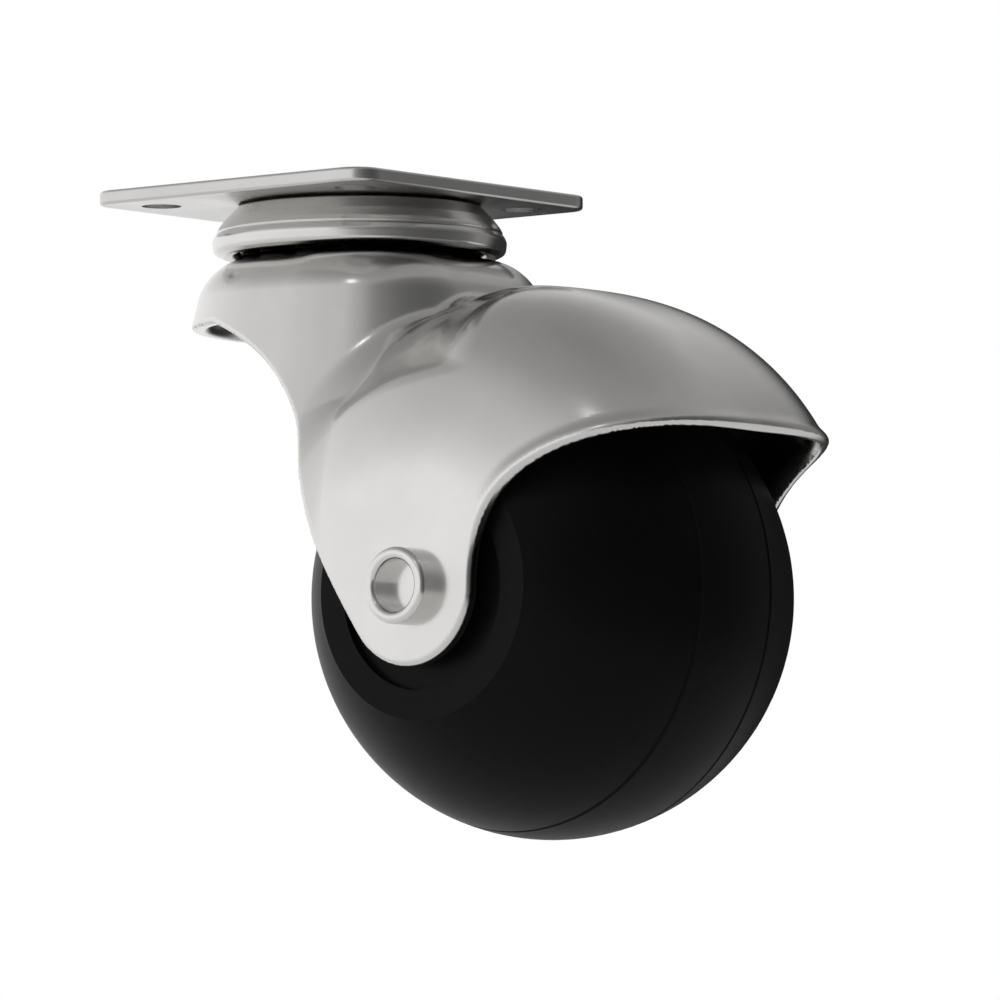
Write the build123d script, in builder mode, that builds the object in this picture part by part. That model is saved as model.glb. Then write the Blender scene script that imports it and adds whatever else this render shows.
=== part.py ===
"""Hooded ball castor with a square top plate, in millimetres.

The origin is the centre of the screw holes in the plate's top face. +Z points up out of that face and
+X is the trail, from the swivel axis to the ball. The axle lies along Y.
"""

import os
from math import cos, radians, sin, sqrt, tan

from build123d import *

os.makedirs("parts", exist_ok=True)

# Overall sizes and clearances. What carries and covers the ball grows with it, by scale
ball_diameter = 50.0
scale_with_ball = ball_diameter / 50.0
axle_to_head_top = 37.32 * scale_with_ball
trail = 26.5 * scale_with_ball
swivel_x = 2.5
running_gap = 0.05
race_gap = 0.04
race_ease = 0.12

# Top plate
plate_side = 38.0
plate_thickness = 1.5
plate_corner_radius = 3.0
plate_edge_round = 0.35
screw_hole_radius = 2.1
screw_hole_spacing = 27.0
dish_radius = 6.4
dish_depth = 1.5

# Kingpin, a rivet through the plate, the collar, the head and the lower race
kingpin_radius = 3.15
kingpin_head_radius = 5.0
kingpin_head_height = 1.3
kingpin_upset_radius = 4.9
kingpin_upset_height = 1.5
kingpin_round = 0.5

# Collar, the pressed cup under the plate that is the upper race
collar_sheet = 1.25
collar_top_radius = 12.7
collar_widest_radius = 15.5
collar_height = 5.2
collar_curl_radius = 1.6
collar_lip_radius = 13.1

# Upper and lower rows of bearing balls, and the lower race
upper_ball_radius = 2.25
upper_ball_count = 14
upper_pitch_radius = 11.2
upper_groove_depth = 0.35
lower_ball_radius = 1.5
lower_ball_count = 12
lower_pitch_radius = 6.7
lower_groove_depth = 0.3
lower_race_sheet = 1.2
lower_race_radius = 9.4
lower_race_lip = 0.9

# Head of the hood, around the swivel axis
hood_wall = 1.85
head_top_wall = 2.0
head_skirt_radius = 17.8 * scale_with_ball
head_skirt_depth = 7.45 * scale_with_ball
head_front_reach = 18.2 * scale_with_ball
head_front_corner = 13.2 * scale_with_ball
head_lean = 13.5
head_shoulder_round = 3.6 * scale_with_ball

# Hood over the ball, a form turned about the axle
hood_top_radius = 32.3 * scale_with_ball
hood_half_width = 23.4 * scale_with_ball
hood_flat_radius = 14.0 * scale_with_ball
hood_side_lean = 23.0
hood_shoulder_radius = 25.0 * scale_with_ball
hood_side_round = 8.0 * scale_with_ball
valley_round = 4.5 * scale_with_ball
rim_flare = 0.4
rim_flare_height = 1.15

# Side view of the legs and the rim, from the axle
leg_tip_radius = 8.2 * scale_with_ball
leg_front_rise = (9.7 * scale_with_ball, 6.6 * scale_with_ball)
rim_knee = (13.6 * scale_with_ball, 11.4 * scale_with_ball)
rim_mid = (19.0 * scale_with_ball, 14.2 * scale_with_ball)
rim_lip_height = 17.3 * scale_with_ball
leg_back_start = 215.0
leg_back_waist = (-15.7 * scale_with_ball, 11.5 * scale_with_ball)
leg_back_rise = (-18.8 * scale_with_ball, 19.5 * scale_with_ball)
leg_back_reach = 32.5 * scale_with_ball

# Axle, a rivet with a hollow in each end
axle_radius = 3.4
axle_head_radius = 3.95
axle_head_length = 2.2
axle_hollow_radius = 2.7
axle_hollow_depth = 2.3
axle_lip_round = 0.55

# Ball
ball_side_gap = 0.55
ball_shell = 3.0 * scale_with_ball
ball_rib_thickness = 1.6
ball_rib_count = 6
ball_hub_radius = 7.2 * scale_with_ball
ball_recess_radius = 10.5 * scale_with_ball
ball_recess_depth = 0.8
tread_half_width = 5.6 * scale_with_ball
tread_thickness = 3.2 * scale_with_ball
tread_edge = 0.25
bush_radius = 5.0
spacer_radius = 6.4
spacer_thickness = 0.4

# Levels, all measured from the plate's top face
ball_radius = ball_diameter / 2
plate_bottom = -plate_thickness
cup_inside = plate_bottom - collar_sheet
upper_ball_z = cup_inside - race_gap - upper_ball_radius
head_top = upper_ball_z - upper_ball_radius - race_gap + upper_groove_depth
head_inside = head_top - head_top_wall
axle_z = head_top - axle_to_head_top
lower_ball_z = head_inside + lower_groove_depth - race_gap - lower_ball_radius
lower_race_top = lower_ball_z - lower_ball_radius - race_gap + lower_groove_depth
lower_race_bottom = lower_race_top - lower_race_sheet
skirt_bottom = head_top - head_skirt_depth
collar_bottom = plate_bottom - collar_height
leg_inside = hood_half_width - hood_wall
ball_flat_half_width = leg_inside - ball_side_gap
mounting_height = ball_radius - axle_z
far = 2 * mounting_height

ball_centre = (swivel_x + trail, 0, axle_z)
swivel_axis = Axis((swivel_x, 0, 0), (0, 0, 1))
axle_axis = Axis(ball_centre, (0, 1, 0))
# Section through the swivel axis: local x is X from that axis, local y is Z
swivel_plane = Plane(origin=(swivel_x, 0, 0), x_dir=(1, 0, 0), z_dir=(0, -1, 0))
# Section through the axle: local x is Y, local y is the height above the axle
cross_plane = Plane(origin=ball_centre, x_dir=(0, 1, 0), z_dir=(1, 0, 0))
# Side view from the near leg: local x is X from the ball's centre, local y is the height above the axle
side_plane = Plane(origin=ball_centre, x_dir=(1, 0, 0), z_dir=(0, -1, 0))


def dome_form(inset):
    """Hood over the ball, turned about the axle, with its outer face moved inward by inset."""
    lean = radians(hood_side_lean)
    shoulder_y = hood_half_width - (hood_shoulder_radius - hood_flat_radius) * tan(lean)
    crown = hood_top_radius - hood_shoulder_radius
    flat_corner = (hood_half_width - inset, hood_flat_radius - inset * tan(lean / 2))
    with BuildPart() as form:
        with BuildSketch(cross_plane) as profile:
            with BuildLine():
                top = Spline(
                    (0, hood_top_radius - inset),
                    (0.75 * shoulder_y - 0.5 * inset, hood_top_radius - 0.35 * crown - 0.87 * inset),
                    (shoulder_y - inset * cos(lean), hood_shoulder_radius - inset * sin(lean)),
                    tangents=[(1, 0), (sin(lean), -cos(lean))],
                )
                Polyline(top @ 1, flat_corner, (flat_corner[0], 0), (0, 0), top @ 0)
            make_face()
            fillet(profile.vertices().sort_by_distance(flat_corner)[0], hood_side_round - inset)
        revolve(axis=axle_axis)
        mirror(about=Plane.XZ)
    return form.part


def head_form(inset, top):
    """Head round the swivel axis, with straight cheeks that lean in from the legs up to its top."""
    slope = tan(radians(head_lean))
    base = axle_z + leg_tip_radius / 2
    grow = (skirt_bottom - base) * slope - inset / cos(radians(head_lean))
    front = head_front_reach + grow
    with BuildPart() as form:
        with BuildSketch(Plane((swivel_x, 0, base))) as plan:
            Circle(head_skirt_radius + grow)
            with Locations((front / 2, 0)):
                Rectangle(front, 2 * (head_skirt_radius + grow))
            fillet(plan.vertices().group_by(Axis.X)[-1], head_front_corner + grow)
        extrude(amount=top - base, taper=head_lean)
        fillet(form.faces().sort_by(Axis.Z)[-1].edges(), head_shoulder_round - 0.6 * inset)
    return form.part


def outer_form():
    """Head and hood as one body, with a rounded valley where they meet."""
    dome = dome_form(0)
    head = head_form(0, head_top)
    with BuildPart() as form:
        add(dome)
        add(head)
        seams = [
            edge
            for edge in form.edges()
            if dome.distance_to(edge @ 0.5) < 1e-4
            and head.distance_to(edge @ 0.5) < 1e-4
            and (edge @ 0.5).Z > skirt_bottom - hood_half_width
        ]
        fillet(seams, valley_round)
    return form.part


def rim_line():
    """Front edge of a leg and the rim of the hood up to the lip, as one curve in the side view."""
    return Spline(
        (leg_tip_radius, 0),
        leg_front_rise,
        rim_knee,
        rim_mid,
        (hood_top_radius + 2, rim_lip_height),
        tangents=[(0, 1), (1, 0.18)],
    )


with BuildPart() as top_plate:
    with BuildSketch(Plane.XY.offset(plate_bottom)):
        RectangleRounded(plate_side, plate_side, plate_corner_radius)
    extrude(amount=plate_thickness)
    fillet(top_plate.edges().filter_by(Plane.XY), plate_edge_round)
    with BuildSketch(swivel_plane):
        with BuildLine():
            Polyline(
                (0, plate_bottom),
                (dish_radius + plate_thickness, plate_bottom),
                (dish_radius + plate_thickness - dish_depth / 2, plate_bottom - dish_depth),
                (0, plate_bottom - dish_depth),
                close=True,
            )
        make_face()
    revolve(axis=swivel_axis)
    with BuildSketch(swivel_plane):
        with BuildLine():
            Polyline(
                (0, 0),
                (dish_radius, 0),
                (dish_radius - dish_depth / 2, -dish_depth),
                (0, -dish_depth),
                close=True,
            )
        make_face()
    revolve(axis=swivel_axis, mode=Mode.SUBTRACT)
    with Locations((swivel_x, 0, 0)):
        Hole(kingpin_radius)
    with GridLocations(screw_hole_spacing, screw_hole_spacing, 2, 2):
        Hole(screw_hole_radius)
top_plate.part.label = "top_plate"
export_step(top_plate.part, "parts/top_plate.step")

cup_step_radius = dish_radius + plate_thickness
cup_step_bottom = plate_bottom - dish_depth
with BuildPart() as collar:
    with BuildSketch(swivel_plane):
        with BuildLine():
            widest_z = collar_bottom + collar_curl_radius
            barrel = ThreePointArc(
                (collar_top_radius, plate_bottom),
                (
                    collar_widest_radius - 0.3 * (collar_widest_radius - collar_top_radius),
                    plate_bottom - 0.5 * (plate_bottom - widest_z),
                ),
                (collar_widest_radius, widest_z),
            )
            curl = RadiusArc(
                barrel @ 1,
                (collar_widest_radius - collar_curl_radius, collar_bottom),
                collar_curl_radius,
            )
            Polyline(
                curl @ 1,
                (collar_lip_radius, collar_bottom + 0.1),
                (collar_lip_radius, collar_bottom + 0.5),
                (collar_widest_radius - collar_sheet, widest_z),
            )
            inner = ThreePointArc(
                (collar_widest_radius - collar_sheet, widest_z),
                (
                    collar_widest_radius - collar_sheet - 0.25 * (collar_widest_radius - collar_top_radius),
                    plate_bottom - 0.55 * (plate_bottom - widest_z),
                ),
                (collar_top_radius, cup_inside),
            )
            Polyline(
                inner @ 1,
                (cup_step_radius + collar_sheet, cup_inside),
                (cup_step_radius + collar_sheet - dish_depth / 2, cup_step_bottom - collar_sheet),
                (kingpin_radius, cup_step_bottom - collar_sheet),
                (kingpin_radius, cup_step_bottom),
                (cup_step_radius - dish_depth / 2, cup_step_bottom),
                (cup_step_radius, plate_bottom),
                barrel @ 0,
            )
        make_face()
    revolve(axis=swivel_axis)
collar.part.label = "collar"
export_step(collar.part, "parts/collar.step")

with BuildPart() as kingpin:
    with BuildSketch(swivel_plane):
        with BuildLine():
            Polyline(
                (0, lower_race_bottom - kingpin_upset_height),
                (kingpin_upset_radius, lower_race_bottom - kingpin_upset_height),
                (kingpin_upset_radius, lower_race_bottom),
                (kingpin_radius, lower_race_bottom),
                (kingpin_radius, -dish_depth),
                (kingpin_head_radius, -dish_depth),
                (kingpin_head_radius, kingpin_head_height - dish_depth),
                (0, kingpin_head_height - dish_depth),
                close=True,
            )
        make_face()
    revolve(axis=swivel_axis)
    ends = kingpin.faces().filter_by(Plane.XY)
    fillet((ends.sort_by(Axis.Z)[0].edges() + ends.sort_by(Axis.Z)[-1].edges()), kingpin_round)
kingpin.part.label = "kingpin"
export_step(kingpin.part, "parts/kingpin.step")

with BuildPart() as lower_race:
    with BuildSketch(swivel_plane):
        with BuildLine():
            Polyline(
                (kingpin_radius, lower_race_top),
                (kingpin_radius, lower_race_bottom),
                (lower_race_radius, lower_race_bottom),
                (lower_race_radius, lower_race_top + lower_race_lip),
                (lower_race_radius - lower_race_sheet, lower_race_top + lower_race_lip),
                (lower_race_radius - lower_race_sheet, lower_race_top),
                close=True,
            )
        make_face()
    revolve(axis=swivel_axis)
    lower_rim = (swivel_x + lower_race_radius, 0, lower_race_bottom)
    fillet(lower_race.edges().sort_by_distance(lower_rim)[0], 0.6)
    with Locations((swivel_x, 0, lower_ball_z + race_ease)):
        Torus(lower_pitch_radius, lower_ball_radius + race_gap + race_ease, mode=Mode.SUBTRACT)
lower_race.part.label = "lower_race"
export_step(lower_race.part, "parts/lower_race.step")


def bearing_ball(name, place, radius):
    """One bearing ball."""
    with BuildPart() as ball:
        with Locations(place):
            Sphere(radius)
    ball.part.label = name
    export_step(ball.part, f"parts/{name}.step")


rows = [
    ("upper_ball", upper_ball_count, upper_pitch_radius, upper_ball_z, upper_ball_radius),
    ("lower_ball", lower_ball_count, lower_pitch_radius, lower_ball_z, lower_ball_radius),
]
for name, count, pitch_radius, level, radius in rows:
    for n, place in enumerate(PolarLocations(pitch_radius, count)):
        spot = place.position + Vector(swivel_x, 0, level)
        bearing_ball(f"{name}_{n + 1:02d}", (spot.X, spot.Y, spot.Z), radius)

with BuildPart() as hood:
    add(outer_form())
    # The rim of the opening is turned outward along its lower edge
    with BuildPart(mode=Mode.PRIVATE) as flare:
        add(dome_form(-rim_flare))
        with BuildSketch(side_plane):
            with BuildLine():
                upper = Spline(
                    leg_front_rise,
                    (rim_knee[0] - 0.6 * rim_flare_height, rim_knee[1] + 0.8 * rim_flare_height),
                    (rim_mid[0] - 0.3 * rim_flare_height, rim_mid[1] + rim_flare_height),
                    (hood_top_radius + 2, rim_lip_height + rim_flare_height),
                    tangents=[(0.2, 1), (1, 0.18)],
                )
                Polyline(upper @ 1, (hood_top_radius + 2, leg_front_rise[1]), leg_front_rise)
            make_face()
        extrude(amount=far, both=True, mode=Mode.INTERSECT)
    add(flare.part)
    add(dome_form(hood_wall), mode=Mode.SUBTRACT)
    add(head_form(hood_wall, head_inside), mode=Mode.SUBTRACT)
    with BuildSketch(side_plane):
        with BuildLine():
            rim = rim_line()
            angle = radians(leg_back_start)
            back_start = (leg_tip_radius * cos(angle), leg_tip_radius * sin(angle))
            back = Spline(
                back_start,
                leg_back_waist,
                leg_back_rise,
                (-leg_back_reach, skirt_bottom - axle_z),
                tangents=[(sin(angle), -cos(angle)), (-1, 0.3)],
            )
            CenterArc((0, 0), leg_tip_radius, leg_back_start, 360 - leg_back_start)
            Polyline(back @ 1, (-far, skirt_bottom - axle_z), (-far, far), (rim @ 1 + (0, far)), rim @ 1)
        make_face()
    extrude(amount=far, both=True, mode=Mode.INTERSECT)
    with Locations((swivel_x, 0, head_top)):
        Hole(kingpin_radius + running_gap, depth=2 * head_top_wall)
    with Locations((swivel_x, 0, upper_ball_z + race_ease)):
        Torus(upper_pitch_radius, upper_ball_radius + race_gap + race_ease, mode=Mode.SUBTRACT)
    with Locations((swivel_x, 0, lower_ball_z - race_ease)):
        Torus(lower_pitch_radius, lower_ball_radius + race_gap + race_ease, mode=Mode.SUBTRACT)
    with BuildSketch(side_plane):
        Circle(axle_radius)
    extrude(amount=far, both=True, mode=Mode.SUBTRACT)
hood.part.label = "hood"
export_step(hood.part, "parts/hood.step")

with BuildPart() as axle:
    with BuildSketch(cross_plane):
        with BuildLine():
            end = hood_half_width + axle_head_length
            floor = end - axle_hollow_depth
            Polyline(
                (0, 0),
                (0, axle_radius),
                (hood_half_width, axle_radius),
                (hood_half_width, axle_head_radius),
                (end, axle_head_radius),
                (end, axle_hollow_radius),
                (floor, axle_hollow_radius),
                (floor, 0),
                close=True,
            )
        make_face()
    revolve(axis=axle_axis)
    rim_edges = axle.faces().sort_by(Axis.Y)[-1].edges()
    fillet(rim_edges, axle_lip_round)
    mirror(about=Plane.XZ)
axle.part.label = "axle"
export_step(axle.part, "parts/axle.step")

for name, side in [("spacer_near", -1), ("spacer_far", 1)]:
    with BuildPart() as spacer:
        with BuildSketch(side_plane.offset(-side * leg_inside)):
            Circle(spacer_radius)
            Circle(axle_radius, mode=Mode.SUBTRACT)
        extrude(amount=side * spacer_thickness)
    spacer.part.label = name
    export_step(spacer.part, f"parts/{name}.step")

with BuildPart() as axle_bush:
    with BuildSketch(side_plane):
        Circle(bush_radius)
        Circle(axle_radius + running_gap, mode=Mode.SUBTRACT)
    extrude(amount=ball_flat_half_width, both=True)
axle_bush.part.label = "axle_bush"
export_step(axle_bush.part, "parts/axle_bush.step")


def on_ball(y, depth=0.0):
    """Point of the section at y whose distance from the ball's centre is its radius less depth."""
    return (y, sqrt((ball_radius - depth) ** 2 - y**2))


def ball_half(name, side):
    """Half of the ball's core, a ribbed shell with a hub and a flat, recessed side face."""
    seat = ball_radius - tread_thickness
    with BuildPart() as half:
        with BuildSketch(cross_plane):
            with BuildLine():
                outside = ThreePointArc(
                    on_ball(side * (tread_half_width + tread_edge)),
                    on_ball(side * (tread_half_width + ball_flat_half_width) / 2),
                    on_ball(side * ball_flat_half_width),
                )
                Polyline(
                    outside @ 1,
                    (side * ball_flat_half_width, ball_recess_radius),
                    (side * (ball_flat_half_width - ball_recess_depth), ball_recess_radius),
                    (side * (ball_flat_half_width - ball_recess_depth), ball_hub_radius),
                    (side * ball_flat_half_width, ball_hub_radius),
                    (side * ball_flat_half_width, bush_radius),
                    (0, bush_radius),
                    (0, seat),
                    (side * tread_half_width, seat),
                    (side * tread_half_width, on_ball(tread_half_width)[1] - tread_edge),
                    outside @ 0,
                )
            make_face()
        revolve(axis=axle_axis)
        with BuildPart(mode=Mode.PRIVATE) as hollow:
            web = ball_flat_half_width - ball_recess_depth - ball_shell
            with BuildSketch(cross_plane):
                with BuildLine():
                    shell = ThreePointArc(
                        (side * tread_half_width, seat - ball_shell),
                        on_ball(side * (tread_half_width + web) / 2, ball_shell * 1.15),
                        on_ball(side * web, ball_shell),
                    )
                    Polyline(
                        shell @ 1,
                        (side * web, ball_hub_radius),
                        (0, ball_hub_radius),
                        (0, seat - ball_shell),
                        shell @ 0,
                    )
                make_face()
            revolve(axis=axle_axis)
            with BuildSketch(side_plane):
                with PolarLocations(0, ball_rib_count):
                    with Locations((far / 2, 0)):
                        Rectangle(far, ball_rib_thickness)
            extrude(amount=far, both=True, mode=Mode.SUBTRACT)
        add(hollow.part, mode=Mode.SUBTRACT)
    half.part.label = name
    export_step(half.part, f"parts/{name}.step")


ball_half("ball_half_near", -1)
ball_half("ball_half_far", 1)

with BuildPart() as tread:
    with BuildSketch(cross_plane):
        with BuildLine():
            crown = ThreePointArc(
                on_ball(tread_edge - tread_half_width), (0, ball_radius), on_ball(tread_half_width - tread_edge)
            )
            edge_level = on_ball(tread_half_width)[1] - tread_edge
            Polyline(
                crown @ 1,
                (tread_half_width, edge_level),
                (tread_half_width, ball_radius - tread_thickness),
                (-tread_half_width, ball_radius - tread_thickness),
                (-tread_half_width, edge_level),
                crown @ 0,
            )
        make_face()
    revolve(axis=axle_axis)
tread.part.label = "tread"
export_step(tread.part, "parts/tread.step")
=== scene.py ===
"""Looks of the hooded ball castor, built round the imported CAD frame.

Fields and outlines are worked out in millimetres, and meshes are written in metres.
"""

from math import cos, pi, radians, sin, tan

import bpy
import numpy as np
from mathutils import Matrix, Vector


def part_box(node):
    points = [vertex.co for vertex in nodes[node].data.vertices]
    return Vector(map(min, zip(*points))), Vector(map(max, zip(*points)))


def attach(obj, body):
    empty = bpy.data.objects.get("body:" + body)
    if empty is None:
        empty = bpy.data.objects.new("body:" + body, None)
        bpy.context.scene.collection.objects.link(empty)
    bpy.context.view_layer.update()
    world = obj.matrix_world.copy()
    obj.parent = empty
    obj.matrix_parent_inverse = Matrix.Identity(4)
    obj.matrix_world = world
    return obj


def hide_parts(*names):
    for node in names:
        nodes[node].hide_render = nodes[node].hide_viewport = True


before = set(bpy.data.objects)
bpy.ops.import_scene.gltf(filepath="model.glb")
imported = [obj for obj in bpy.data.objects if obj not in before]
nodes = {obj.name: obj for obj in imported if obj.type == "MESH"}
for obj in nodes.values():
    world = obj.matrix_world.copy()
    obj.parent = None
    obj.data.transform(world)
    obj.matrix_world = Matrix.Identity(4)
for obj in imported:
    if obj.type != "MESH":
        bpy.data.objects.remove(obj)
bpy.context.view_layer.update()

MM = 0.001

# Places that the frame gives, in metres
pin_low, pin_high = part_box("kingpin")
tread_low, tread_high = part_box("tread")
hood_low, hood_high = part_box("hood")
collar_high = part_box("collar")[1]
swivel_x = (pin_low.x + pin_high.x) / 2
ball_centre = (tread_low + tread_high) / 2


# Materials


def new_material(name):
    """Node material, with its nodes, its links and its Principled shader."""
    material = bpy.data.materials.new(name)
    material.use_nodes = True
    tree = material.node_tree
    return material, tree.nodes, tree.links, tree.nodes["Principled BSDF"]


def noise(tree_nodes, links, scale, detail=3.0, roughness=0.5):
    """Noise in object coordinates, where scale is waves per metre."""
    place = tree_nodes.new("ShaderNodeTexCoord")
    texture = tree_nodes.new("ShaderNodeTexNoise")
    texture.inputs["Scale"].default_value = scale
    texture.inputs["Detail"].default_value = detail
    texture.inputs["Roughness"].default_value = roughness
    links.new(place.outputs["Object"], texture.inputs["Vector"])
    return texture.outputs["Fac"]


def ramp(tree_nodes, links, source, stops):
    """Colours or numbers at the stops, each (position, value), as source goes from 0 to 1."""
    node = tree_nodes.new("ShaderNodeValToRGB")
    elements = node.color_ramp.elements
    while len(elements) < len(stops):
        elements.new(0.5)
    for element, (position, value) in zip(elements, stops):
        element.position = position
        element.color = (*value, 1) if isinstance(value, tuple) else (value, value, value, 1)
    links.new(source, node.inputs["Fac"])
    return node.outputs["Color"]


def bump(tree_nodes, links, source, strength, distance):
    """Bump from a height."""
    node = tree_nodes.new("ShaderNodeBump")
    node.inputs["Strength"].default_value = strength
    node.inputs["Distance"].default_value = distance
    links.new(source, node.inputs["Height"])
    return node.outputs["Normal"]


def plated(name, colour, roughness, spread, grain=0.12):
    """Satin nickel plate: faint cloudiness, uneven gloss and a very fine polishing grain."""
    material, tree_nodes, links, shader = new_material(name)
    shader.inputs["Metallic"].default_value = 1.0
    cloud = noise(tree_nodes, links, 90, 4, 0.55)
    fine = noise(tree_nodes, links, 2600, 2, 0.6)
    darker = tuple(0.93 * c for c in colour)
    tint = ramp(tree_nodes, links, cloud, [(0.3, darker), (0.7, colour)])
    gloss = ramp(tree_nodes, links, cloud, [(0.3, roughness + spread), (0.7, roughness - spread)])
    links.new(tint, shader.inputs["Base Color"])
    links.new(gloss, shader.inputs["Roughness"])
    links.new(bump(tree_nodes, links, fine, grain, 0.00001), shader.inputs["Normal"])
    return material


def moulded(name, colour, roughness, spread, grain, grain_scale, specular=0.5):
    """Moulded plastic or rubber: a fine even grain and slightly uneven gloss."""
    material, tree_nodes, links, shader = new_material(name)
    shader.inputs["Specular IOR Level"].default_value = specular
    cloud = noise(tree_nodes, links, 70, 3, 0.5)
    fine = noise(tree_nodes, links, grain_scale, 3, 0.6)
    lighter = tuple(min(1, 1.25 * c + 0.001) for c in colour)
    tint = ramp(tree_nodes, links, cloud, [(0.3, colour), (0.7, lighter)])
    gloss = ramp(tree_nodes, links, cloud, [(0.3, roughness - spread), (0.7, roughness + spread)])
    links.new(tint, shader.inputs["Base Color"])
    links.new(gloss, shader.inputs["Roughness"])
    links.new(bump(tree_nodes, links, fine, grain, 0.00003), shader.inputs["Normal"])
    return material


def between(tree_nodes, links, source, low, high):
    """Nought at low and one at high, and even steps between them."""
    node = tree_nodes.new("ShaderNodeMapRange")
    node.inputs["From Min"].default_value = low
    node.inputs["From Max"].default_value = high
    links.new(source, node.inputs["Value"])
    return node.outputs["Result"]


def paint_race_gap_shade(material, radius, level):
    """Painted shade in the race gap under the collar: a dark colour inside a radius about the
    swivel axis and above a level, in metres.
    """
    radius_blur, level_blur = 0.0002, 0.0001
    tree_nodes, links = material.node_tree.nodes, material.node_tree.links
    shader = tree_nodes["Principled BSDF"]
    place = tree_nodes.new("ShaderNodeTexCoord")
    parts = tree_nodes.new("ShaderNodeSeparateXYZ")
    links.new(place.outputs["Object"], parts.inputs["Vector"])
    flat = tree_nodes.new("ShaderNodeCombineXYZ")
    links.new(parts.outputs["X"], flat.inputs["X"])
    links.new(parts.outputs["Y"], flat.inputs["Y"])
    away = tree_nodes.new("ShaderNodeVectorMath")
    away.operation = "DISTANCE"
    away.inputs[1].default_value = (swivel_x, 0, 0)
    links.new(flat.outputs["Vector"], away.inputs[0])
    away = away.outputs["Value"]
    within = between(tree_nodes, links, away, radius + radius_blur, radius - radius_blur)
    above = between(tree_nodes, links, parts.outputs["Z"], level - level_blur, level + level_blur)
    share = tree_nodes.new("ShaderNodeMath")
    share.operation = "MULTIPLY"
    links.new(within, share.inputs[0])
    links.new(above, share.inputs[1])
    old = shader.inputs["Base Color"].links[0].from_socket
    mix = tree_nodes.new("ShaderNodeMix")
    mix.data_type = "RGBA"
    links.new(share.outputs["Value"], mix.inputs["Factor"])
    links.new(old, mix.inputs["A"])
    # Colour of the painted shade in the race gap
    mix.inputs["B"].default_value = (0.02, 0.019, 0.018, 1)
    links.new(mix.outputs["Result"], shader.inputs["Base Color"])


nickel_colour = (0.76, 0.75, 0.735)
nickel = plated("satin_nickel", nickel_colour, 0.2, 0.03)
hood_nickel_painted_shade = plated("hood_nickel_painted_shade", nickel_colour, 0.2, 0.03)
# Painted shade: the hood's nickel goes dark under the collar, where the race gap lies in shadow
paint_race_gap_shade(hood_nickel_painted_shade, 0.0162, -0.0079)
nickel_plate = plated("plate_nickel", (0.66, 0.65, 0.64), 0.24, 0.04, 0.2)
race_steel = plated("race_steel", (0.45, 0.45, 0.46), 0.38, 0.06)
ball_steel = plated("bearing_steel", (0.12, 0.12, 0.125), 0.3, 0.03, 0.02)
ball_black = moulded("ball_plastic", (0.005, 0.005, 0.0053), 0.4, 0.04, 0.12, 1800, 0.08)
tread_black = moulded("tread_rubber", (0.0055, 0.0055, 0.0057), 0.45, 0.04, 0.2, 2200, 0.08)
bush_white = moulded("bush_plastic", (0.62, 0.6, 0.55), 0.5, 0.05, 0.1, 1500)
spacer_black = moulded("spacer_plastic", (0.03, 0.03, 0.033), 0.5, 0.05, 0.1, 1500)

finish_of = {
    "top_plate": nickel_plate,
    "collar": nickel,
    "kingpin": nickel,
    "hood": nickel,
    "axle": nickel,
    "lower_race": race_steel,
    "axle_bush": bush_white,
    "spacer_near": spacer_black,
    "spacer_far": spacer_black,
    "ball_half_near": ball_black,
    "ball_half_far": ball_black,
    "tread": tread_black,
}

for name, obj in nodes.items():
    obj.data.materials.clear()
    obj.data.materials.append(finish_of.get(name, ball_steel))


# Curves and distance fields, in millimetres


def spline(points, start, end, steps=24):
    """Smooth curve through the points, with the given directions at its ends."""
    points = np.array(points, float)
    spans = np.linalg.norm(np.diff(points, axis=0), axis=1)
    count = len(points)
    system = np.eye(count)
    speed = np.zeros_like(points)
    speed[0] = np.array(start) / np.linalg.norm(start)
    speed[-1] = np.array(end) / np.linalg.norm(end)
    for i in range(1, count - 1):
        before, after = spans[i - 1], spans[i]
        system[i, i - 1 : i + 2] = (1 / before, 2 / before + 2 / after, 1 / after)
        pull = (points[i] - points[i - 1]) / before**2 + (points[i + 1] - points[i]) / after**2
        speed[i] = 3 * pull
    speed = np.linalg.solve(system, speed)
    t = np.linspace(0, 1, steps, endpoint=False)[:, None]
    pieces = [
        (1 + 2 * t) * (1 - t) ** 2 * points[i]
        + t * (1 - t) ** 2 * spans[i] * speed[i]
        + t**2 * (3 - 2 * t) * points[i + 1]
        - t**2 * (1 - t) * spans[i] * speed[i + 1]
        for i in range(count - 1)
    ]
    return [tuple(p) for p in np.vstack(pieces + [points[-1:]])]


def arc(centre, radius, start, end, steps=24):
    """Points on a circle from the start angle to the end angle, in degrees."""
    angles = [radians(start + (end - start) * i / steps) for i in range(steps + 1)]
    return [(centre[0] + radius * cos(a), centre[1] + radius * sin(a)) for a in angles]


def rounded(corners, radii):
    """Open outline through the corners, with each inner corner rounded to its radius."""
    line = [tuple(corners[0])]
    for before, corner, after, r in zip(corners, corners[1:], corners[2:], radii):
        a = Vector(before) - Vector(corner)
        b = Vector(after) - Vector(corner)
        half = a.angle(b) / 2
        if r == 0 or half > radians(89.5):
            line.append(tuple(corner))
            continue
        reach = r / tan(half)
        centre = Vector(corner) + (a.normalized() + b.normalized()).normalized() * r / sin(half)
        first = Vector(corner) + a.normalized() * reach - centre
        last = Vector(corner) + b.normalized() * reach - centre
        turn = first.angle_signed(last)
        steps = max(2, round(abs(turn) / radians(9)))
        for i in range(steps + 1):
            angle = -turn * i / steps
            line.append(
                (
                    centre.x + first.x * cos(angle) - first.y * sin(angle),
                    centre.y + first.x * sin(angle) + first.y * cos(angle),
                )
            )
    return line + [tuple(corners[-1])]


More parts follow.
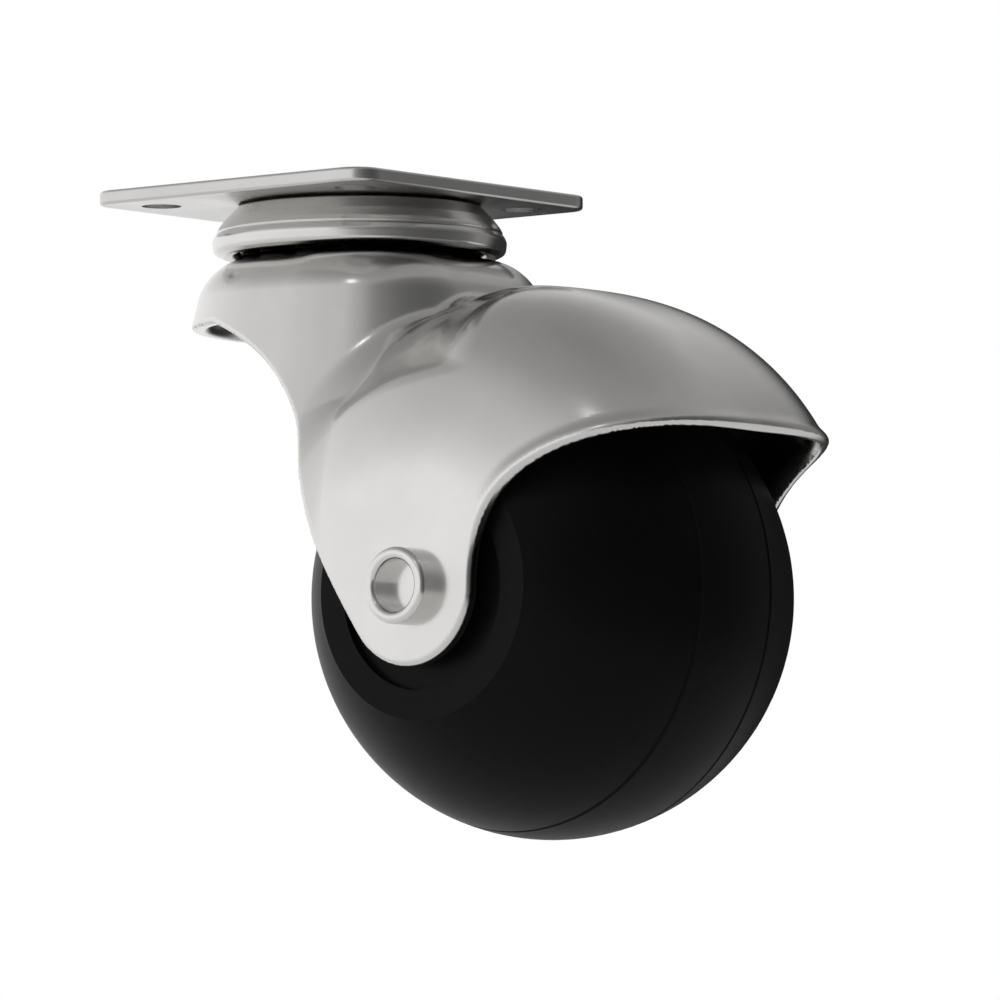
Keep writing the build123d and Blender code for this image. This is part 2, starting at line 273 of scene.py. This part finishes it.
class Outline:
    """Signed distance to a closed outline, negative inside, read from a fine table."""

    step = 0.1

    def __init__(self, points, low, high):
        self.low = np.array(low, float)
        counts = np.ceil((np.array(high) - self.low) / self.step).astype(int) + 1
        x = self.low[0] + self.step * np.arange(counts[0])[:, None]
        y = self.low[1] + self.step * np.arange(counts[1])[None, :]
        nearest = np.full(counts, 1e9)
        crossings = np.zeros(counts, bool)
        ends = points[1:] + points[:1]
        for (ax, ay), (bx, by) in zip(points, ends):
            length = (bx - ax) ** 2 + (by - ay) ** 2
            if length < 1e-12:
                continue
            t = np.clip(((x - ax) * (bx - ax) + (y - ay) * (by - ay)) / length, 0, 1)
            away = (x - ax - t * (bx - ax)) ** 2 + (y - ay - t * (by - ay)) ** 2
            np.minimum(nearest, away, out=nearest)
            if ay != by:
                side = (ay > y) != (by > y)
                crossings ^= side & (x < (bx - ax) * (y - ay) / (by - ay) + ax)
        self.table = np.where(crossings, -1, 1) * np.sqrt(nearest)

    def __call__(self, x, y):
        i = np.clip((x - self.low[0]) / self.step, 0, self.table.shape[0] - 1.001)
        j = np.clip((y - self.low[1]) / self.step, 0, self.table.shape[1] - 1.001)
        a, b = i.astype(int), j.astype(int)
        s, t = i - a, j - b
        near = (1 - t) * self.table[a, b] + t * self.table[a, b + 1]
        return (1 - s) * near + s * ((1 - t) * self.table[a + 1, b] + t * self.table[a + 1, b + 1])


def both(a, b, radius):
    """Inside both fields, with the edge between them rounded."""
    corner = np.hypot(np.maximum(a + radius, 0), np.maximum(b + radius, 0))
    return np.minimum(-radius, np.maximum(a, b)) + corner


def either(a, b, radius):
    """Inside either field, with the valley between them rounded."""
    corner = np.hypot(np.maximum(radius - a, 0), np.maximum(radius - b, 0))
    return np.maximum(radius, np.minimum(a, b)) - corner


def surface(field, low, high, step):
    """Corners and quads on the zero surface of a field, one corner in each cell that it crosses."""
    axes = [np.arange(a, b + step, step) for a, b in zip(low, high)]
    grid = np.meshgrid(*axes, indexing="ij")
    values = field(*grid)
    inside = values < 0
    cells = tuple(n - 1 for n in values.shape)

    def at(array, corner):
        return array[tuple(slice(c, c + n) for c, n in zip(corner, cells))]

    corners = [(i, j, k) for i in (0, 1) for j in (0, 1) for k in (0, 1)]
    filled = sum(at(inside, c).astype(np.int8) for c in corners)
    crossed = (filled > 0) & (filled < 8)
    place = np.argwhere(crossed)
    total = np.zeros(place.shape)
    hits = np.zeros(len(place))
    for axis in range(3):
        along = np.eye(3, dtype=int)[axis]
        for corner in corners:
            if corner[axis]:
                continue
            a = at(values, corner)[crossed]
            b = at(values, tuple(np.array(corner) + along))[crossed]
            cut = (a < 0) != (b < 0)
            share = np.where(cut, a / np.where(cut, a - b, 1), 0)
            total += cut[:, None] * (np.array(corner) + share[:, None] * along)
            hits += cut
    points = np.array(low) + step * (place + total / hits[:, None])

    number = np.full(cells, -1)
    number[crossed] = np.arange(len(place))
    quads = []
    for axis in range(3):
        one, two = np.eye(3, dtype=int)[(axis + 1) % 3], np.eye(3, dtype=int)[(axis + 2) % 3]
        ahead = np.roll(inside, -1, axis)
        changed = inside != ahead
        edges = np.argwhere(changed)
        keep = (edges[:, axis] < cells[axis]) & (edges @ one > 0) & (edges @ two > 0)
        keep &= (edges @ one < cells[(axis + 1) % 3]) & (edges @ two < cells[(axis + 2) % 3])
        edges = edges[keep]
        ring = [number[tuple((edges - shift).T)] for shift in (one + two, two, 0 * one, one)]
        outward = inside[tuple(edges.T)]
        quad = np.stack(ring, 1)
        quads.append(np.where(outward[:, None], quad, quad[:, ::-1]))
    return points, np.vstack(quads)


def unit(vectors):
    """Vectors brought to a length of one."""
    return vectors / np.maximum(np.linalg.norm(vectors, axis=1), 1e-9)[:, None]


def slope(field, points, reach):
    """Direction and rate in which a field grows at the points."""
    steps = [reach * axis for axis in np.eye(3)]
    ahead = [field(*(points + step).T) - field(*(points - step).T) for step in steps]
    return np.stack(ahead, 1) / (2 * reach)


def settle(points, field, rounds=3):
    """Moves points onto the zero surface of a field."""
    for _ in range(rounds):
        grow = slope(field, points, 0.02)
        size = np.maximum((grow**2).sum(1), 0.25)
        points = points - (field(*points.T) / size)[:, None] * grow
    return points


def relax(points, quads, field, rounds=4):
    """Evens out the spacing of the points along the zero surface of a field."""
    ends = np.vstack([quads[:, [i, (i + 1) % 4]] for i in range(4)])
    ends = np.vstack([ends, ends[:, ::-1]])
    count = np.bincount(ends[:, 0], minlength=len(points))
    for _ in range(rounds):
        near = points[ends[:, 1]]
        total = [np.bincount(ends[:, 0], near[:, axis], len(points)) for axis in range(3)]
        shift = np.stack(total, 1) / count[:, None] - points
        normal = unit(slope(field, points, 0.05))
        shift -= (shift * normal).sum(1)[:, None] * normal
        points = settle(points + 0.6 * shift, field, 2)
    return points


def add_mesh(name, points, faces, material, body, normals=None):
    """Smooth mesh piece from points in metres, that rides on a body."""
    mesh = bpy.data.meshes.new(name)
    mesh.from_pydata(np.asarray(points).tolist(), [], np.asarray(faces).tolist())
    mesh.shade_smooth()
    if normals is not None:
        mesh.normals_split_custom_set_from_vertices(normals.tolist())
    mesh.materials.append(material)
    obj = bpy.data.objects.new(name, mesh)
    bpy.context.scene.collection.objects.link(obj)
    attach(obj, body)
    return obj


def lathe(name, profile, material, body, segments=160):
    """Piece turned about the swivel axis from a closed profile of (radius, height) points."""
    line = np.array(profile)
    spans = np.roll(line, -1, 0) - line
    lengths = np.linalg.norm(spans, axis=1)
    line, spans, lengths = line[lengths > 1e-6], spans[lengths > 1e-6], lengths[lengths > 1e-6]
    after = np.roll(line, -1, 0)
    handed = np.sign((line[:, 0] * after[:, 1] - after[:, 0] * line[:, 1]).sum())
    across = np.stack([spans[:, 1], -spans[:, 0]], 1) * lengths[:, None]
    facing = (across + np.roll(across, 1, 0)) * handed
    angles = np.arange(segments) * 2 * pi / segments
    turn = np.stack([np.cos(angles), np.sin(angles)], 1)

    def turned(points):
        flat = points[None, :, :1] * turn[:, None, :]
        return np.dstack([flat, np.broadcast_to(points[:, 1], flat.shape[:2])]).reshape(-1, 3)

    n = len(line)
    i, j = np.meshgrid(np.arange(segments), np.arange(n), indexing="ij")
    next_i, next_j = (i + 1) % segments, (j + 1) % n
    ring = [i * n + j, next_i * n + j, next_i * n + next_j, i * n + next_j]
    quads = np.stack(ring, -1).reshape(-1, 4)
    if handed < 0:
        quads = quads[:, ::-1]
    points = turned(line) + np.array([swivel_x / MM, 0, 0])
    return add_mesh(name, points * MM, quads, material, body, unit(turned(facing)))


# Collar

collar_wall = 1.25
pin_hole_radius = 3.2


def collar():
    """Pressed cup under the plate, with a step above its rolled lip.

    Its profile is given as (radius, height) points.
    """
    top = collar_high.z / MM
    floor_level = top - collar_wall
    outside = [(12.7, top), (13.1, -1.9), (14.2, -3.05), (14.95, -4.0)]
    step = [(15.15, -4.45), (15.05, -4.6), (15.3, -4.8)]
    lip = [(15.6, -5.4), (15.45, -6.55), (14.5, -6.97), (13.4, -6.9), (13.1, -6.4)]
    inside = [(14.1, -5.7), (13.4, -4.6), (12.2, -3.4), (11.0, floor_level)]
    hole = [(pin_hole_radius, floor_level), (pin_hole_radius, top)]
    radii = [0.8, 1.5, 1.5, 0.12, 0.1, 0.4, 0.9, 0.6, 0.5, 0.3, 0.3, 0.6, 1, 1, 0.4, 0]
    profile = rounded(outside + step + lip + inside + hole, radii)
    obj = lathe("collar_cup", profile, nickel, "plate")
    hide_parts("collar")


collar()


# Hood

axle_x, axle_z = ball_centre.x / MM, ball_centre.z / MM
swivel_at = swivel_x / MM
hood_wall = 1.85
edge_round = 0.6
axle_hole_radius = 3.4

# Head and skirt
head_top = hood_high.z / MM
skirt_bottom = -14.8
skirt_radius = 17.8
head_front_reach = 18.2
head_front_corner = 13.2
head_lean = radians(13.5)
head_shoulder_round = 4.5
shoulder_drop = 0.25
shoulder_tilt = 0.011
seat_radius = 13.0
seat_edge_round = 0.4
seat_foot_round = 0.5

# Section of the cover: its crown, its shoulder and points on its side, as (across, from the axle)
hood_top_radius = 32.3
hood_half_width = 23.4
shoulder_radius = 25.0
side_lean = radians(23.0)
side_corner_radius = 14.0
crown_share = 0.75
crown_fall = 0.35
hood_side = [(21.3, 19.5), (22.95, 13.9)]
hood_flat_top = 9.0
hood_side_end = -20

# Valley between head and cover, tighter from valley_start in front of the swivel axis
valley_round = 3.6
valley_fall = 2.0
valley_start = 9
valley_reach = 9

# Shallow ledge in the cover beside the head, which fades out along the cover
ledge_radius = 22.4
ledge_across = 19.66
ledge_slope = radians(56.0)
ledge_depth = 1.5
ledge_round = 0.6
ledge_foot_round = 0.8
ledge_end = 8.0
ledge_fade = 11.0

# Turned rim: its flare in the middle and on the sides, and where it starts above and past the axle
lip_flare = 0.4
side_flare = 0.9
full_side_flare = 14
rim_flare_height = 2.0
rim_slant = 0.5
rim_above, rim_above_reach = 4, 8
rim_past, rim_past_reach = 6, 6

# Legs, from the axle
leg_tip_radius = 8.2
leg_back_start = 215
rim_points = [(leg_tip_radius, 0), (9.7, 6.6), (13.6, 11.4), (19.0, 14.2), (34.3, 17.3)]
back_points = [(-15.7, 11.5), (-18.8, 19.5), (-32.5, skirt_bottom - axle_z)]

mesh_step = 0.38
mesh_margin = 0.9
normal_reach = 0.1


def dome_profile():
    """Section of the hood over the ball: y across, distance from the axle up."""
    shoulder_y = hood_half_width - (shoulder_radius - side_corner_radius) * tan(side_lean)
    crown = hood_top_radius - shoulder_radius
    points = [
        (0, hood_top_radius),
        (crown_share * shoulder_y, hood_top_radius - crown_fall * crown),
        (shoulder_y, shoulder_radius),
        *hood_side,
        (hood_half_width, hood_flat_top),
    ]
    half = spline(points, (1, 0), (0, -1), 40) + [(hood_half_width, hood_side_end)]
    mirrored = [(-y, h) for y, h in reversed(half)]
    return Outline(mirrored + half, (-1, -1), (34, 44))


def side_outline():
    """Side view of the legs, the rim and the skirt, from the axle."""
    start = radians(leg_back_start)
    back_start = (leg_tip_radius * cos(start), leg_tip_radius * sin(start))
    rim = spline(rim_points, (0, 1), (1, 0.18))
    back = spline([back_start, *back_points], (sin(start), -cos(start)), (-1, 0.3))
    tip = arc((0, 0), leg_tip_radius, leg_back_start, 360)
    above = [(60, 20), (60, 80), (-70, 80), (-70, skirt_bottom - axle_z)]
    return Outline(tip + rim[1:] + above + back[::-1][:-1], (-50, -12), (40, 45))


dome_section = dome_profile()
side_view = side_outline()


def head_field(x, y, z):
    """Head round the swivel axis: leaning cheeks, a rounded shoulder and a raised seat."""
    across = np.abs(y)
    ahead = x - swivel_at
    box_x = ahead - (head_front_reach - head_front_corner)
    box_y = across - (skirt_radius - head_front_corner)
    front = np.hypot(np.maximum(box_x, 0), np.maximum(box_y, 0)) - head_front_corner
    front += np.minimum(np.maximum(box_x, box_y), 0)
    plan = np.where(ahead > 0, front, np.hypot(ahead, across) - skirt_radius)
    cheeks = (plan + (z - skirt_bottom) * tan(head_lean)) * cos(head_lean)
    body = both(cheeks, z - head_top + shoulder_drop + shoulder_tilt * ahead, head_shoulder_round)
    seat = both(np.hypot(ahead, y) - seat_radius, z - head_top, seat_edge_round)
    return either(body, np.maximum(seat, skirt_bottom - z), seat_foot_round)


def dome_field(along, across, height):
    """Hood over the ball, with the ledge beside the head."""
    from_axle = np.hypot(along, height)
    fade = np.clip((ledge_end - along) / ledge_fade, 0, 1)
    fade = fade**2 * (3 - 2 * fade)
    rise = sin(ledge_slope) * (from_axle - ledge_radius)
    ledge = rise + cos(ledge_slope) * (across - ledge_across)
    dome = dome_section(across, from_axle)
    step = either(ledge, dome + fade * ledge_depth, ledge_foot_round) - (1 - fade)
    return both(dome, step, ledge_round)


def hood_field(x, y, z):
    """The hood's pressed sheet, with its turned rim and its holes."""
    along, across, height = x - axle_x, np.abs(y), z - axle_z
    from_axle = np.hypot(along, height)
    tighter = np.clip((x - swivel_at - valley_start) / valley_reach, 0, 1)
    valley = valley_round - valley_fall * tighter
    outer = either(dome_field(along, across, height), head_field(x, y, z), valley)

    side = side_view(along, height)
    front = np.clip((height - rim_above) / rim_above_reach, 0, 1)
    front = front * np.clip((along - rim_past) / rim_past_reach, 0, 1)
    turned = np.clip(1 + side / rim_flare_height, 0, 1) ** 2 * front
    flare = lip_flare + (side_flare - lip_flare) * np.clip(across / full_side_flare, 0, 1)
    outer = outer - flare * turned

    middle = outer + hood_wall / 2
    sheet = np.abs(middle) - hood_wall / 2
    form = both(sheet, side + rim_slant * front * middle, edge_round)
    form = np.maximum(form, axle_hole_radius - from_axle)
    return np.maximum(form, pin_hole_radius - np.hypot(x - swivel_at, y))


def hood():
    """The hood as one smooth pressing in place of the frame's."""
    low = np.array(hood_low) / MM - mesh_margin
    high = np.array(hood_high) / MM + mesh_margin
    points, quads = surface(hood_field, low, high, mesh_step)
    points = relax(settle(points, hood_field), quads, hood_field)
    normals = unit(slope(hood_field, points, normal_reach))
    points = points * MM
    obj = add_mesh("hood_pressing", points, quads, hood_nickel_painted_shade, "hood", normals)
    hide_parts("hood")


hood()


# Studio

# Camera, at the angle worked out from the photograph
camera_azimuth = radians(40.0)
camera_elevation = radians(-4.7)
camera_distance = 1.0
pixels_per_mm = 9.652
image_side = 1000
ball_pixel = (552.7, 598.8)

floor_level = -0.24
floor_half = 4.0
floor_glow = 0.35


def photo_camera():
    """Camera of the photograph: a long lens whose axis passes beside the ball, with no shift."""
    a, e = camera_azimuth, camera_elevation
    back = Vector((sin(a) * cos(e), -cos(a) * cos(e), sin(e)))
    right = Vector((cos(a), sin(a), 0))
    up = back.cross(right)
    across = (ball_pixel[0] - image_side / 2) / pixels_per_mm * MM
    above = (image_side / 2 - ball_pixel[1]) / pixels_per_mm * MM
    data = bpy.data.cameras.new("camera")
    data.sensor_width = 36
    data.lens = data.sensor_width * camera_distance / (image_side / pixels_per_mm * MM)
    data.clip_start = 0.01
    data.clip_end = 50
    camera = bpy.data.objects.new("camera", data)
    bpy.context.scene.collection.objects.link(camera)
    camera.location = ball_centre + camera_distance * back - across * right - above * up
    camera.rotation_mode = "QUATERNION"
    camera.rotation_quaternion = (-back).to_track_quat("-Z", "Y")
    bpy.context.scene.camera = camera
    return right, up, back


def seen_ray(tree_nodes, links):
    """One for rays from the camera and for reflected and transmitted ones, else nought."""
    path = tree_nodes.new("ShaderNodeLightPath")
    seen = path.outputs["Is Camera Ray"]
    for kind in ("Is Glossy Ray", "Is Transmission Ray"):
        larger = tree_nodes.new("ShaderNodeMath")
        larger.operation = "MAXIMUM"
        links.new(seen, larger.inputs[0])
        links.new(path.outputs[kind], larger.inputs[1])
        seen = larger.outputs["Value"]
    return seen


def studio_world():
    """White surroundings for the camera and for reflections, and softer light for matt surfaces."""
    world = bpy.data.worlds.new("studio")
    bpy.context.scene.world = world
    world.use_nodes = True
    tree_nodes, links = world.node_tree.nodes, world.node_tree.links
    level = ramp(tree_nodes, links, seen_ray(tree_nodes, links), [(0, 0.7), (1, 1.0)])
    links.new(level, tree_nodes["Background"].inputs["Color"])


def card(name, place, radius, tones, soft=0.4):
    """Round studio card at a place, facing the ball.

    Its light follows the tones, each (share of the radius, level), and it thins out over its soft
    rim.
    """
    sides = 64
    ring = [(cos(2 * pi * i / sides), sin(2 * pi * i / sides), 0) for i in range(sides)]
    mesh = bpy.data.meshes.new(name)
    mesh.from_pydata(ring, [], [tuple(range(sides))])
    obj = bpy.data.objects.new(name, mesh)
    bpy.context.scene.collection.objects.link(obj)
    obj.location = place
    obj.scale = (radius, radius, 1)
    obj.rotation_mode = "QUATERNION"
    obj.rotation_quaternion = (ball_centre - place).to_track_quat("Z", "Y")
    material, tree_nodes, links, shader = new_material(name)
    spot = tree_nodes.new("ShaderNodeTexCoord")
    fade = tree_nodes.new("ShaderNodeTexGradient")
    fade.gradient_type = "SPHERICAL"
    links.new(spot.outputs["Object"], fade.inputs["Vector"])
    glow = tree_nodes.new("ShaderNodeEmission")
    inward = fade.outputs["Color"]
    steps = [(1 - share, level) for share, level in reversed(tones)]
    links.new(ramp(tree_nodes, links, inward, steps), glow.inputs["Color"])
    clear = tree_nodes.new("ShaderNodeBsdfTransparent")
    mix = tree_nodes.new("ShaderNodeMixShader")
    links.new(ramp(tree_nodes, links, inward, [(0, 0), (soft, 1)]), mix.inputs["Fac"])
    links.new(clear.outputs["BSDF"], mix.inputs[1])
    links.new(glow.outputs["Emission"], mix.inputs[2])
    links.new(mix.outputs["Shader"], tree_nodes["Material Output"].inputs["Surface"])
    mesh.materials.append(material)
    obj.visible_camera = False


def soft_box(name, place, size, energy):
    """Square soft box at a place, turned towards the ball."""
    data = bpy.data.lights.new(name, "AREA")
    data.size = size
    data.energy = energy
    lamp = bpy.data.objects.new(name, data)
    bpy.context.scene.collection.objects.link(lamp)
    lamp.location = place
    lamp.rotation_mode = "QUATERNION"
    lamp.rotation_quaternion = (ball_centre - place).to_track_quat("-Z", "Y")


def floor():
    """Pale floor, well below the castor because the photograph's camera looks up at it."""
    sides = [(-1, -1), (1, -1), (1, 1), (-1, 1)]
    mesh = bpy.data.meshes.new("floor")
    corners = [(floor_half * a, floor_half * b, floor_level) for a, b in sides]
    mesh.from_pydata(corners, [], [(0, 1, 2, 3)])
    obj = bpy.data.objects.new("floor", mesh)
    bpy.context.scene.collection.objects.link(obj)
    material, tree_nodes, links, shader = new_material("floor_white")
    cloud = noise(tree_nodes, links, 3)
    shade = ramp(tree_nodes, links, cloud, [(0.3, (0.84, 0.84, 0.84)), (0.7, (0.88, 0.88, 0.88))])
    links.new(shade, shader.inputs["Base Color"])
    shader.inputs["Roughness"].default_value = 0.7
    shader.inputs["Emission Color"].default_value = (1, 1, 1, 1)
    lift = tree_nodes.new("ShaderNodeMath")
    lift.operation = "MULTIPLY"
    lift.inputs[1].default_value = floor_glow
    links.new(seen_ray(tree_nodes, links), lift.inputs[0])
    links.new(lift.outputs["Value"], shader.inputs["Emission Strength"])
    mesh.materials.append(material)


def from_ball(behind, aside, above):
    """Place at these distances from the ball: away from the camera, to its right and up."""
    return ball_centre - behind * level_back + aside * right + above * overhead


right, up, back = photo_camera()
studio_world()
floor()
level_back = Vector((back.x, back.y, 0)).normalized()
overhead = Vector((0, 0, 1))

# Dark side of the studio, and the darker sky above the castor
right_tones = [(0, 0.08), (0.1, 0.13), (0.2, 0.22), (0.5, 0.45), (0.7, 0.7)]
top_tones = [(0, 0.26), (0.2, 0.36), (0.35, 0.45), (0.6, 0.6)]
card("right_card", from_ball(-0.25, 0.43, 0.05), 3.0, right_tones, 0.3)
card("top_card", from_ball(0, 0, 0.6), 2.2, top_tones, 0.8)
card("behind_card", from_ball(0.4, 0.46, 0.05), 0.55, [(0, 0.2), (1, 0.3)], 0.5)

# Small dark flag behind the head, for the dark edge of the plate, the collar and the head
flag_place = Vector((swivel_x, 0, -0.03)) - 0.1 * level_back + 0.065 * right
card("flag", flag_place, 0.09, [(0, 0.03), (1, 0.03)])

soft_box("key", ball_centre + 0.3 * back - 0.12 * right + 0.38 * up, 0.05, 0.02)

bpy.context.scene.view_settings.view_transform = "Standard"
